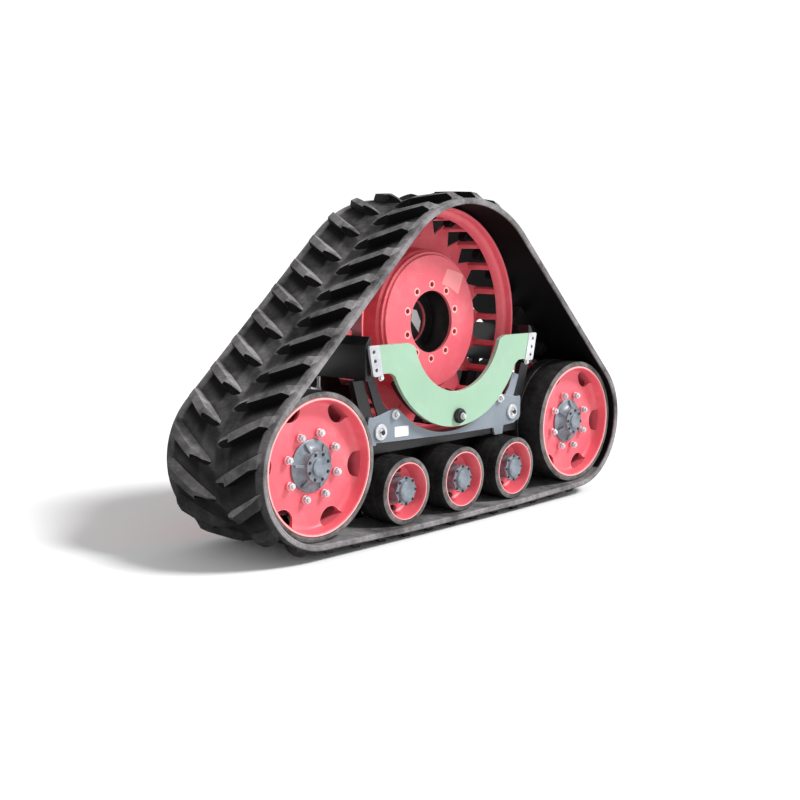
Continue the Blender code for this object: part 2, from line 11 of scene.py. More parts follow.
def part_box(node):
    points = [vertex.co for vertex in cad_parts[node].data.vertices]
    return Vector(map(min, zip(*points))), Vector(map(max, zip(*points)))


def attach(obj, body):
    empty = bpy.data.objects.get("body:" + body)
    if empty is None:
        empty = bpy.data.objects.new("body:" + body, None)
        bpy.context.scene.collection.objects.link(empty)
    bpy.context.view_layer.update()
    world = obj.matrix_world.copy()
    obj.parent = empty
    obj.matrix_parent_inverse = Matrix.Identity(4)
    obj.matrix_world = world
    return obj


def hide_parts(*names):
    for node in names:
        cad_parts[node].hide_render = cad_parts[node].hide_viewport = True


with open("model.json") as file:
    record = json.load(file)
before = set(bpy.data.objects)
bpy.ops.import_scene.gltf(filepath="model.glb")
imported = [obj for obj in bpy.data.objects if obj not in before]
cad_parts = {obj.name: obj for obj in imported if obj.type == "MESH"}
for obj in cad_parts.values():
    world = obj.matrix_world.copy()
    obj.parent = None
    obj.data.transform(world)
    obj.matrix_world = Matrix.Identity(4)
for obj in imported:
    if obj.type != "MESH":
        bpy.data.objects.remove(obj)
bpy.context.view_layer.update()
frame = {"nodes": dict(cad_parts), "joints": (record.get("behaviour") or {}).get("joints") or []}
JOINT_AT = {joint["name"]: Vector(joint["pos_m"]) for joint in frame["joints"] if "pos_m" in joint}

# ---- sizes, read from the frame


def middle(node):
    low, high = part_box(node)
    return (low + high) / 2


def size(node):
    low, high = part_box(node)
    return high - low


DRIVE_AT = Vector((0, 0, JOINT_AT["drive_spin"].z))
DRIVE_Z = DRIVE_AT.z
CAGE_RADIUS = size("drive_cage").z / 2
IDLER_AT = middle("rear_idler_near_tyre")
IDLER_RADIUS = size("rear_idler_near_tyre").z / 2
IDLER_HALF_WIDTH = size("rear_idler_near_tyre").y / 2
ROLLER_AT = middle("roller_3_near_tyre")
ROLLER_RADIUS = size("roller_3_near_tyre").z / 2
ROLLER_HALF_WIDTH = size("roller_3_near_tyre").y / 2
BELT_HALF_WIDTH = size("rubber_belt").y / 2

# Belt: the band is thickest at its shoulders and thinner between them.
BELT_THICKNESS = 0.026
CARCASS_THICKNESS = 0.0215
BELT_DRIVE_RADIUS = CAGE_RADIUS + 0.008
WHEEL_TO_BELT = 0.0015
TREAD_COUNT = 40
TREAD_HEIGHT = 0.030
TREAD_RAKE = 0.52
TREAD_START = 0.465  # in pitches, from the top of the drive wheel
TREAD_STAGGER = 0.5  # in pitches, between the two halves of the tread
UPHILL_SIDE = 7  # the side of a tread lug's cross-section that faces up the belt
MOULD_LINES = (0.0085, 0.0175)
DRIVE_LUG_COUNT = 43
DRIVE_LUG_DUST = 0.03

# Painted shade: below the top of this zone the belt's dust is scaled down, so the belt darkens towards
# the ground, down to the lowest share.
FADE_BOTTOM = 0.34
FADE_HEIGHT = 0.35
LOWEST_LIT_SHARE = 0.16

DRIVE_BOLT_CIRCLE = 0.1675
IDLER_BOLT_CIRCLE = 0.1350
IDLER_CAP_CIRCLE = 0.0530
BAR_COUNT = 24
WING_SLANT = 0.028
SHARP_ANGLE = math.radians(32)


# ---- mesh helpers


def shaded(mesh):
    mesh.shade_smooth()
    mesh.set_sharp_from_angle(angle=SHARP_ANGLE)
    return mesh


def mesh_from(bm, name):
    bmesh.ops.recalc_face_normals(bm, faces=bm.faces)
    mesh = bpy.data.meshes.new(name)
    bm.to_mesh(mesh)
    bm.free()
    return shaded(mesh)


def linked(name, data):
    """A new object in the scene."""
    made = bpy.data.objects.new(name, data)
    bpy.context.scene.collection.objects.link(made)
    return made


def turned(profile, facets=128):
    """A mesh turned about Y from (y, radius) points; a radius of 0 at both ends closes on the axis."""
    bm = bmesh.new()
    rings = []
    for y, radius in profile:
        if radius == 0:
            rings.append([bm.verts.new((0, y, 0))] * facets)
            continue
        angles = [2 * math.pi * i / facets for i in range(facets)]
        rings.append([bm.verts.new((radius * math.cos(a), y, radius * math.sin(a))) for a in angles])
    count = len(rings) - 1 if profile[0][1] == 0 else len(rings)
    for i in range(count):
        one, two = rings[i], rings[(i + 1) % len(rings)]
        for k in range(facets):
            j = (k + 1) % facets
            bm.faces.new(list(dict.fromkeys((one[k], one[j], two[j], two[k]))))
    return mesh_from(bm, "turned")


def turned_from(start, profile, facets=128):
    """A turned mesh whose profile is measured along Y from the start."""
    return turned([(start + y, radius) for y, radius in profile], facets)


def extruded(outline, y_low, y_high):
    """A flat plate whose outline is a list of (x, z) points."""
    bm = bmesh.new()
    front = [bm.verts.new((x, y_low, z)) for x, z in outline]
    back = [bm.verts.new((x, y_high, z)) for x, z in outline]
    bm.faces.new(front)
    bm.faces.new(back)
    for i in range(len(outline)):
        j = (i + 1) % len(outline)
        bm.faces.new((front[i], front[j], back[j], back[i]))
    return mesh_from(bm, "extruded")


def arc(centre, radius, start, end, steps):
    """Points on an arc, angles in degrees from +X towards +Z."""
    angles = [math.radians(start + (end - start) * i / steps) for i in range(steps + 1)]
    return [(centre[0] + radius * math.cos(a), centre[1] + radius * math.sin(a)) for a in angles]


def polar(radius, degrees, centre=(0, 0)):
    angle = math.radians(degrees)
    return (centre[0] + radius * math.cos(angle), centre[1] + radius * math.sin(angle))


def rounded(outline, radius, steps=5, corners=None):
    """The outline with its corners (all, or those listed) rounded."""
    points = []
    count = len(outline)
    for i in range(count):
        here = Vector(outline[i])
        if corners is not None and i not in corners:
            points.append(tuple(here))
            continue
        before = Vector(outline[i - 1]) - here
        after = Vector(outline[(i + 1) % count]) - here
        cut = min(radius, before.length * 0.45, after.length * 0.45)
        one = here + before.normalized() * cut
        two = here + after.normalized() * cut
        for k in range(steps + 1):
            t = k / steps
            point = one * (1 - t) ** 2 + here * 2 * t * (1 - t) + two * t**2
            points.append(tuple(point))
    return points


def rod(radius, y_low, y_high, facets=32):
    """A plain cylinder along Y."""
    return turned([(y_low, 0), (y_low, radius), (y_high, radius), (y_high, 0)], facets)


def band(inner, outer, y_low, y_high, facets=32):
    """A plain ring round Y."""
    return turned([(y_low, inner), (y_low, outer), (y_high, outer), (y_high, inner)], facets)


def round_washer(radius, y, thickness):
    return rod(radius, y, y + thickness)


def hexagon(radius, y_low, y_high):
    return extruded([polar(radius, 60 * i) for i in range(6)], y_low, y_high)


def joined(parts):
    """One mesh from several, each given as (mesh, matrix)."""
    bm = bmesh.new()
    for mesh, matrix in parts:
        start = len(bm.verts)
        bm.from_mesh(mesh)
        bm.verts.ensure_lookup_table()
        bmesh.ops.transform(bm, matrix=matrix, verts=bm.verts[start:])
    result = bpy.data.meshes.new("joined")
    bm.to_mesh(result)
    bm.free()
    return shaded(result)


def together(*meshes):
    """One mesh from several that are already where they belong."""
    return joined([(mesh, Matrix()) for mesh in meshes])


def moved(x=0.0, y=0.0, z=0.0):
    return Matrix.Translation((x, y, z))


def round_y(degrees):
    """A turn about Y that takes +X towards +Z."""
    return Matrix.Rotation(math.radians(-degrees), 4, "Y")


def swung(mesh, degrees):
    return joined([(mesh, round_y(degrees))])


def ring_of(mesh, count, radius, start=0.0):
    """Copies of the mesh spaced evenly round a circle, each turned to face outward."""
    step = 360 / count
    return [(mesh, round_y(start + step * i) @ moved(x=radius)) for i in range(count)]


def cut(mesh, tool):
    """The first mesh with the second cut out of it."""
    body = linked("boolean_body", mesh)
    other = linked("boolean_tool", tool)
    modifier = body.modifiers.new("boolean", "BOOLEAN")
    modifier.operation = "DIFFERENCE"
    modifier.solver = "EXACT"
    modifier.object = other
    bpy.context.view_layer.update()
    graph = bpy.context.evaluated_depsgraph_get()
    result = bpy.data.meshes.new_from_object(body.evaluated_get(graph))
    bpy.data.objects.remove(body)
    bpy.data.objects.remove(other)
    return shaded(result)


def drilled(mesh, holes, y_low, y_high, facets=24):
    """The mesh with holes along Y, each given as (x, z, radius)."""
    cutters = [(rod(radius, y_low, y_high, facets), moved(x=x, z=z)) for x, z, radius in holes]
    return cut(mesh, joined(cutters))


def piece(name, mesh, body, finish, at=(0, 0, 0), turn=0.0, bevel=0.0, stands_for=()):
    """One visible piece: placed, finished, bevelled and tied to its body."""
    made = linked(name, mesh)
    made.location = at
    made.rotation_euler = (0, 0, turn)
    if finish.name not in [m.name for m in mesh.materials if m]:
        mesh.materials.clear()
        mesh.materials.append(finish)
    if bevel:
        edge = made.modifiers.new("edges", "BEVEL")
        edge.width = bevel
        edge.segments = 2
        edge.limit_method = "ANGLE"
        edge.angle_limit = SHARP_ANGLE
        edge.harden_normals = True
    bpy.context.view_layer.update()
    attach(made, body)
    if stands_for:
        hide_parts(*stands_for)


def frame_piece(name, mesh, finish, bevel=0.0, stands_for=(), at=(0, 0, 0)):
    """A piece that stays with the frame."""
    piece(name, mesh, "frame", finish, at, bevel=bevel, stands_for=stands_for)


# ---- materials


def set_range(node, low, high, out_low, out_high):
    """Makes a range node take low..high to out_low..out_high."""
    values = {"From Min": low, "From Max": high, "To Min": out_low, "To Max": out_high}
    for socket, value in values.items():
        node.inputs[socket].default_value = value


class Nodes:
    """Short names for the nodes a finish is wired from."""

    def __init__(self, name):
        self.material = bpy.data.materials.new(name)
        self.material.use_nodes = True
        self.tree = self.material.node_tree
        self.shader = self.tree.nodes["Principled BSDF"]
        self.place = self.add("ShaderNodeTexCoord").outputs["Object"]

    def add(self, kind):
        return self.tree.nodes.new(kind)

    def wire(self, source, target):
        self.tree.links.new(source, target)

    def noise(self, scale, detail=4.0, roughness=0.55, stretch=None):
        node = self.add("ShaderNodeTexNoise")
        node.inputs["Scale"].default_value = scale
        node.inputs["Detail"].default_value = detail
        node.inputs["Roughness"].default_value = roughness
        place = self.place
        if stretch:
            mapping = self.add("ShaderNodeMapping")
            mapping.inputs["Scale"].default_value = stretch
            self.wire(place, mapping.inputs["Vector"])
            place = mapping.outputs["Vector"]
        self.wire(place, node.inputs["Vector"])
        return node.outputs["Fac"]

    def steps(self, source, low, high, out_low=0.0, out_high=1.0):
        """Maps a value from low..high to out_low..out_high, clamped."""
        node = self.add("ShaderNodeMapRange")
        set_range(node, low, high, out_low, out_high)
        self.wire(source, node.inputs["Value"])
        return node.outputs["Result"]

    def math(self, operation, one, two):
        node = self.add("ShaderNodeMath")
        node.operation = operation
        node.use_clamp = True
        for socket, value in zip(node.inputs, (one, two)):
            if isinstance(value, (int, float)):
                socket.default_value = value
            else:
                self.wire(value, socket)
        return node.outputs["Value"]

    def times(self, one, two):
        return self.math("MULTIPLY", one, two)

    def mix(self, factor, one, two):
        node = self.add("ShaderNodeMix")
        node.data_type = "RGBA"
        self.wire(factor, node.inputs["Factor"])
        for socket, value in ((node.inputs[6], one), (node.inputs[7], two)):
            if isinstance(value, tuple):
                socket.default_value = (*value, 1.0)
            else:
                self.wire(value, socket)
        return node.outputs[2]

    def edges(self, width):
        """1 on convex edges and 0 on flats, from the difference to a rounded normal."""
        bevel = self.add("ShaderNodeBevel")
        bevel.samples = 4
        bevel.inputs["Radius"].default_value = width
        dot = self.add("ShaderNodeVectorMath")
        dot.operation = "DOT_PRODUCT"
        self.wire(bevel.outputs["Normal"], dot.inputs[0])
        self.wire(self.add("ShaderNodeNewGeometry").outputs["Normal"], dot.inputs[1])
        return self.steps(dot.outputs["Value"], 0.97, 0.80)

    def bump(self, height, distance, strength=1.0):
        node = self.add("ShaderNodeBump")
        node.inputs["Distance"].default_value = distance
        node.inputs["Strength"].default_value = strength
        self.wire(height, node.inputs["Height"])
        self.wire(node.outputs["Normal"], self.shader.inputs["Normal"])


def linear(screen):
    """An 8-bit screen colour as linear values."""
    values = []
    for channel in screen:
        c = channel / 255
        values.append(c / 12.92 if c <= 0.04045 else ((c + 0.055) / 1.055) ** 2.4)
    return tuple(values)


def paint(name, colour, worn, dust, roughness, edge, dust_amount):
    """Sprayed paint: faint orange peel, patches of dust, scuffs, and pale edges that are partly worn
    paint and partly a painted highlight.
    """
    n = Nodes(name)
    colour, worn, dust = linear(colour), linear(worn), linear(dust)
    shade = tuple(c * 0.82 for c in colour)
    tone = n.mix(n.steps(n.noise(3.0, 6.0), 0.35, 0.65, 0.0, 0.35), colour, shade)
    patches = n.times(n.steps(n.noise(7.0, 8.0, 0.65), 0.48, 0.72), dust_amount)
    tone = n.mix(patches, tone, dust)
    specks = n.steps(n.noise(160.0, 3.0), 0.68, 0.72)
    scuffs = n.times(n.times(specks, n.steps(n.noise(9.0, 2.0), 0.55, 0.65)), 0.6)
    tone = n.mix(scuffs, tone, worn)
    # Pale convex edges, broken up by noise: partly worn paint, partly a painted highlight along the
    # edges.
    broken = n.steps(n.noise(40.0, 4.0), 0.30, 0.62)
    rim = n.times(n.times(n.edges(0.0035), broken), edge)
    tone = n.mix(rim, tone, worn)
    n.wire(tone, n.shader.inputs["Base Color"])
    n.wire(n.steps(patches, 0.0, 0.5, roughness, 0.75), n.shader.inputs["Roughness"])
    n.bump(n.noise(420.0, 2.0), 0.0004, 0.25)
    return n.material


def rubber(name, dark, dust_and_highlight_tone, dust_low, dust_high, scale=6.0):
    """Moulded rubber: near black, paled by a mark on each face that carries dust, painted highlight and
    painted shade.
    """
    n = Nodes(name)
    dark, dust_and_highlight_tone = linear(dark), linear(dust_and_highlight_tone)
    level = n.add("ShaderNodeAttribute")
    level.attribute_name = "dust_light_mark"
    cloud = n.steps(n.noise(scale, 8.0, 0.72), 0.36, 0.60, 0.25, 1.0)
    streak = n.steps(n.noise(38.0, 6.0, 0.7, (1.0, 0.25, 1.0)), 0.46, 0.70)
    cover = n.times(n.steps(level.outputs["Fac"], 0.0, 1.0, dust_low, dust_high), cloud)
    cover = n.math("ADD", cover, n.times(streak, n.times(cover, 0.45)))
    tone = n.mix(cover, dark, dust_and_highlight_tone)
    nick = n.steps(n.noise(210.0, 3.0), 0.66, 0.72)
    tone = n.mix(n.times(nick, n.times(cover, 0.5)), tone, dust_and_highlight_tone)
    # Paler convex edges: dust on them, plus a painted highlight that lightens them where there is no
    # dust.
    tone = n.mix(n.times(n.edges(0.004), n.math("ADD", cover, 0.15)), tone, dust_and_highlight_tone)
    n.wire(tone, n.shader.inputs["Base Color"])
    n.shader.inputs["Specular IOR Level"].default_value = 0.05
    n.wire(n.steps(cover, 0.0, 0.8, 0.60, 0.9), n.shader.inputs["Roughness"])
    n.bump(n.noise(300.0, 5.0, 0.7), 0.0012, 0.5)
    return n.material


def casting(name, light, dark, metallic, roughness):
    """Painted or bare metal: rough skin, random darker patches, and bright edges as a painted highlight.
    """
    n = Nodes(name)
    light, dark = linear(light), linear(dark)
    tone = n.mix(n.steps(n.noise(14.0, 8.0, 0.7), 0.35, 0.68), light, dark)
    # Edges in a brighter copy of the metal's colour: a painted highlight.
    bright = tuple(min(1.0, c * 1.7) for c in light)
    tone = n.mix(n.times(n.edges(0.003), 0.6), tone, bright)
    n.wire(tone, n.shader.inputs["Base Color"])
    n.shader.inputs["Metallic"].default_value = metallic
    rough = n.steps(n.noise(30.0, 4.0), 0.3, 0.7, roughness - 0.08, roughness + 0.15)
    n.wire(rough, n.shader.inputs["Roughness"])
    n.bump(n.noise(190.0, 6.0, 0.7), 0.0009, 0.45)
    return n.material


RED = paint("red_enamel", (232, 99, 112), (255, 220, 214), (250, 150, 154), 0.40, 1.0, 0.40)
GREEN = paint("green_enamel", (150, 186, 160), (226, 240, 230), (184, 200, 186), 0.45, 0.9, 0.40)
GREY = paint("grey_enamel", (126, 136, 146), (222, 226, 230), (160, 166, 172), 0.42, 1.0, 0.35)
BLACK = paint("black_enamel", (17, 18, 22), (140, 146, 152), (44, 46, 51), 0.34, 0.8, 0.30)
BELT = rubber("belt_compound", (9, 9, 10), (150, 147, 149), 0.0, 0.95)
TYRE = rubber("tyre_compound", (13, 12, 13), (132, 129, 128), 0.0, 0.85, 9.0)
CAST = casting("hub_casting", (138, 148, 157), (84, 91, 99), 0.25, 0.42)
ZINC = casting("zinc_plate", (222, 224, 226), (170, 175, 180), 0.45, 0.34)
STEEL = casting("ground_steel", (190, 194, 198), (140, 145, 150), 0.9, 0.24)
DARK_STEEL = casting("dark_steel", (52, 50, 52), (26, 25, 27), 0.3, 0.45)
PALE_RED = paint("worn_red", (250, 176, 172), (255, 224, 218), (250, 196, 192), 0.5, 0.6, 0.5)
FADED_RED = paint("faded_red", (250, 150, 152), (255, 214, 210), (252, 178, 176), 0.5, 0.2, 0.5)
# Near black for the lining of the drive wheel's bore: painted shade.
PAINTED_BORE_SHADE = paint("painted_bore_shade", (16, 12, 13), (120, 110, 110), (34, 28, 28), 0.35, 0.3, 0.2)
BLANK = paint("blank_white", (236, 238, 238), (255, 255, 255), (214, 216, 214), 0.5, 0.3, 0.3)


# ---- belt


def belt_circles():
    """The circles that the belt's inner face follows, each as its centre and radius."""
    idler, roller = (IDLER_AT, IDLER_RADIUS), (ROLLER_AT, ROLLER_RADIUS)
    circles = [(Vector((0, DRIVE_Z)), BELT_DRIVE_RADIUS)]
    for side, (at, radius) in ((-1, idler), (-1, roller), (1, roller), (1, idler)):
        circles.append((Vector((side * at.x, at.z)), radius + WHEEL_TO_BELT))
    return circles


class BeltPath:
    """The belt's inner face as arcs and straight runs, from the top of the drive wheel."""

    def __init__(self):
        circles = belt_circles()
        at = top = math.pi / 2
        self.segments = []
        for i, (centre, radius) in enumerate(circles):
            other, other_radius = circles[(i + 1) % len(circles)]
            across = other - centre
            leaving = math.atan2(across.y, across.x) - math.acos((radius - other_radius) / across.length)
            self.segments.append(("arc", centre, radius, at, (leaving - at) % (2 * math.pi)))
            normal = Vector((math.cos(leaving), math.sin(leaving)))
            self.segments.append(("run", centre + radius * normal, other + other_radius * normal, normal))
            at = leaving
        centre, radius = circles[0]
        self.segments.append(("arc", centre, radius, at, (top - at) % (2 * math.pi)))
        self.lengths = [self.measure(segment) for segment in self.segments]
        self.length = sum(self.lengths)

    @staticmethod
    def measure(segment):
        if segment[0] == "arc":
            return (segment[2] + BELT_THICKNESS / 2) * segment[4]
        return (segment[2] - segment[1]).length

    def point(self, along, y, outward):
        along %= self.length
        for segment, length in zip(self.segments, self.lengths):
            if along <= length:
                break
            along -= length
        if segment[0] == "arc":
            angle = segment[3] + segment[4] * along / length
            flat = segment[1] + (segment[2] + outward) * Vector((math.cos(angle), math.sin(angle)))
        else:
            flat = segment[1].lerp(segment[2], along / length) + outward * segment[3]
        return Vector((flat.x, y, flat.y))


PATH = BeltPath()


def add_dust_light_layer(bm):
    """How much dust, painted highlight and painted shade each face carries, read by the rubber finish."""
    return bm.faces.layers.float.new("dust_light_mark")


def carcass_section():
    """Half of the belt's cross-section, from its inner edge round to its outer middle."""
    thick, flat = BELT_THICKNESS, CARCASS_THICKNESS
    low_line, high_line = MOULD_LINES
    rim = [(0.012, 0.0), (0.004, 0.0), (0.0005, 0.003), (0.0, 0.007), (0.0015, low_line)]
    rim += [(0.0, 0.010), (0.0, 0.016), (0.0015, high_line), (0.0, 0.019), (0.001, 0.023)]
    rim += [(0.006, thick), (0.022, thick + 0.0005)]
    section = [(BELT_HALF_WIDTH - inset, outward) for inset, outward in rim]
    section += [(0.262, thick), (0.248, flat)]
    section += [(y, flat) for y in (0.225, 0.200, 0.175, 0.150, 0.125)]
    section += [(y, flat) for y in (0.100, 0.080, 0.060, 0.040, 0.020)]
    return section


def ground_shade_share(z):
    """Share of the belt's dust kept at this height, smaller towards the ground: a painted shade on the
    belt's lower part.
    """
    share = (z - FADE_BOTTOM) / FADE_HEIGHT
    return min(1.0, max(LOWEST_LIT_SHARE, LOWEST_LIT_SHARE + (1 - LOWEST_LIT_SHARE) * share))


def carcass_dust_and_shadow(at, y, outward, z):
    """Dust on the band: most on its rim and shoulders, and a drift above each lug; just downhill of each
    lug the band is kept black as the lug's painted shadow.
    """
    if outward < 0.001:
        if abs(y) >= BELT_HALF_WIDTH - 0.01:
            return 0.9
        on_lower_run = z < 0.12
        return 0.7 if on_lower_run else 0.0
    if outward < 0.020:
        return 0.62 if outward in MOULD_LINES else 0.95
    stagger = 0.0 if y < 0 else TREAD_STAGGER
    pitches = (at + TREAD_RAKE * abs(y)) * TREAD_COUNT / PATH.length
    share = (pitches - TREAD_START - stagger) % 1.0
    # 0 just downhill of each lug, where the band is kept black as a painted shadow of the lug, then up to
    # 1 towards the next lug.
    out_of_lug_shadow = min(1.0, max(0.0, (share - 0.38) / 0.24))
    if abs(y) > 0.250:
        level = 0.85
    elif abs(y) < 0.085:
        level = 0.20 + 0.35 * out_of_lug_shadow
    else:
        level = 0.34 * out_of_lug_shadow
    return level * ground_shade_share(z)


def belt_carcass():
    """The flat band, with rounded edges, two mould lines along each edge and raised shoulders."""
    half = carcass_section()
    section = half + [(0.0, CARCASS_THICKNESS)] + [(-y, outward) for y, outward in reversed(half)]
    samples = TREAD_COUNT * 24
    bm = bmesh.new()
    dust_light_mark = bm.verts.layers.float.new("dust_light_mark")
    loops = []
    for i in range(samples):
        at = PATH.length * i / samples
        loop = []
        for y, outward in section:
            vertex = bm.verts.new(PATH.point(at, y, outward))
            vertex[dust_light_mark] = carcass_dust_and_shadow(at, y, outward, vertex.co.z)
            loop.append(vertex)
        loops.append(loop)
    for i in range(samples):
        one, two = loops[i], loops[(i + 1) % samples]
        for k in range(len(section)):
            j = (k + 1) % len(section)
            bm.faces.new((one[k], one[j], two[j], two[k]))
    return mesh_from(bm, "belt_carcass")


def lofted(bm, dust_light_mark, rows, levels, end_level):
    """A closed block from cross-sections; levels gives the dust and painted light on each side at the
    block's height.
    """
    rings = [[bm.verts.new(point) for point in row] for row in rows]
    height = rows[0][0].z
    for i, (one, two) in enumerate(zip(rings, rings[1:])):
        for k in range(len(one)):
            j = (k + 1) % len(one)
            face = bm.faces.new((one[k], one[j], two[j], two[k]))
            face[dust_light_mark] = levels(i, k, height)
    for ring in (rings[0], rings[-1]):
        bm.faces.new(ring)[dust_light_mark] = end_level


# Tread lug from shoulder to middle: distance from the middle plane, the two edges of its base,
# then four points over its top, from the downhill to the uphill edge, each with its height share.
FULL_TOP = ((0.024, 1.00), (0.010, 1.00), (-0.003, 1.00), (-0.013, 1.00))
LUG_ROWS = (
    (0.294, -0.033, -0.004, ((-0.008, 0.03), (-0.014, 0.03), (-0.021, 0.03), (-0.028, 0.03))),
    (0.270, -0.034, 0.032, ((0.026, 0.46), (0.010, 0.46), (-0.008, 0.46), (-0.022, 0.46))),
    (0.251, -0.034, 0.032, FULL_TOP),
    (0.200, -0.034, 0.032, FULL_TOP),
    (0.150, -0.034, 0.031, FULL_TOP),
    (0.108, -0.034, 0.030, ((0.022, 1.00), (0.009, 1.00), (-0.003, 1.00), (-0.013, 1.00))),
    (0.098, -0.034, 0.029, ((0.022, 0.30), (0.004, 0.92), (-0.005, 0.94), (-0.014, 0.92))),
    (0.072, -0.034, 0.023, ((0.016, 0.18), (-0.005, 0.72), (-0.010, 0.78), (-0.017, 0.74))),
    (0.046, -0.033, 0.015, ((0.008, 0.12), (-0.011, 0.54), (-0.015, 0.60), (-0.020, 0.56))),
    (0.030, -0.031, 0.004, ((-0.002, 0.08), (-0.016, 0.32), (-0.020, 0.36), (-0.024, 0.34))),
    (0.014, -0.031, -0.010, ((-0.013, 0.04), (-0.020, 0.08), (-0.023, 0.09), (-0.026, 0.08))),
)


def lug_dust_and_light(i, k, z):
    """Dust and painted light on a lug: pale shoulder with dust, greyer top, an uphill flank kept pale as
    a painted highlight, and a downhill wall kept black as painted shade.
    """
    fade = ground_shade_share(z)
    on_block = i < 5
    # Painted highlight: the uphill flank stays pale high on the belt even where the dust thins.
    if k == UPHILL_SIDE and z > 0.30:
        fade = max(fade, 0.6)
    if i == 0:
        return fade * (0.6 if k == 3 else 0.95)
    if k == UPHILL_SIDE:
        return fade
    if k in (5, 6):
        return fade * (0.62 if on_block else 0.85)
    if k == 4 and on_block:
        return fade * 0.62
    # Painted shade: the downhill wall, and the faces against the band, stay black.
    return 0.0


def drive_lug_dust_and_shade(_i, _k, z):
    # Dust on the inner lugs, darkened towards the ground as painted shade.
    return DRIVE_LUG_DUST * ground_shade_share(z)


def tread_lugs():
    """Chevron lugs in two staggered halves; each drops to the belt at its shoulder."""
    pitch = PATH.length / TREAD_COUNT
    root, top = CARCASS_THICKNESS - 0.002, BELT_THICKNESS + TREAD_HEIGHT
    bm = bmesh.new()
    dust_light_mark = add_dust_light_layer(bm)
    for side, stagger in ((-1, 0.0), (1, TREAD_STAGGER)):
        for k in range(TREAD_COUNT):
            centre = (TREAD_START + stagger + k) * pitch
            rows = []
            for y, base_up, base_down, over in LUG_ROWS:
                at = centre - TREAD_RAKE * y
                corners = [(base_up + (base_down - base_up) * t, 0.0) for t in (0.0, 0.3, 0.7, 1.0)]
                corners += over
                row = []
                for offset, share in corners:
                    row.append(PATH.point(at + offset, side * y, root + (top - root) * share))
                rows.append(row)
            lofted(bm, dust_light_mark, rows, lug_dust_and_light, 0.0)
    return mesh_from(bm, "tread_lugs")


def drive_lugs():
    """Inner lugs that stand between the bars of the drive wheel."""
    pitch = PATH.length / DRIVE_LUG_COUNT
    half, half_width = 0.0245, 0.0295
    bm = bmesh.new()
    dust_light_mark = add_dust_light_layer(bm)
    levels = [(-0.004, 0.0), (0.006, 0.004), (0.045, 0.0085), (0.056, 0.0125), (0.0598, 0.018)]
    for k in range(DRIVE_LUG_COUNT):
        centre = (k + 0.5) * pitch
        rows = []
        for depth, inset in levels:
            along, across = half - inset, half_width - inset * 0.8
            corners = ((-along, -across), (along, -across), (along, across), (-along, across))
            rows.append([PATH.point(centre + s, y, -depth) for s, y in corners])
        lofted(bm, dust_light_mark, rows, drive_lug_dust_and_shade, DRIVE_LUG_DUST)
    return mesh_from(bm, "drive_lugs")


def make_belt():
    """The belt's three pieces, in the shape they have round the wheels."""
    parts = (("band", belt_carcass, 0.0), ("tread", tread_lugs, 0.002), ("drive_lugs", drive_lugs, 0.002))
    for name, make, bevel in parts:
        frame_piece("belt_" + name, make(), BELT, bevel, ("rubber_belt",))


# ---- drive wheel


def wheel_piece(name, mesh, finish, bevel=0.0, stands_for=()):
    """A painted piece that turns with the drive wheel."""
    piece(name, mesh, "drive_wheel", finish, DRIVE_AT, bevel=bevel, stands_for=stands_for)


def make_cage():
    """The ring, the star-shaped web at the far side and the bars between them."""
    low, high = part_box("drive_cage")
    near, far = low.y, high.y
    radius = CAGE_RADIUS
    profile = [(0.0, radius - 0.002), (0.003, radius), (0.067, radius - 0.007), (0.069, radius - 0.010)]
    profile += [(0.069, 0.470), (0.066, 0.468), (0.036, 0.4775), (0.033, 0.481), (0.030, 0.495)]
    profile += [(0.002, 0.500), (0.0, 0.503)]
    wheel_piece("cage_ring", turned_from(near, profile, 192), RED, 0.0012, ("drive_cage",))

    step = 360 / BAR_COUNT
    tooth = ((-1.7, 0.500), (1.7, 0.500), (2.7, 0.486), (7.5, 0.420), (step - 2.7, 0.486))
    outline = []
    for i in range(BAR_COUNT):
        for offset, spot in tooth:
            outline.append(polar(spot, i * step + offset))
    web = extruded(outline, far - 0.014, far)
    holes = [(0, 0, 0.100)] + [(*polar(0.395, 36 * i + 9), 0.007) for i in range(10)]
    web = drilled(web, holes, far - 0.03, far + 0.01)
    wheel_piece("star_web", web, RED, 0.0015, ("drive_cage",))

    section = [(0.472, -0.0125), (0.500, -0.0155), (0.504, 0.0), (0.500, 0.0155), (0.472, 0.0125)]
    bar = extruded(rounded(section, 0.004, 3), near + 0.055, far - 0.013)
    bars = joined([(bar, round_y(step * i)) for i in range(BAR_COUNT)])
    wheel_piece("cage_bars", bars, RED, 0.0012, ("drive_cage",))


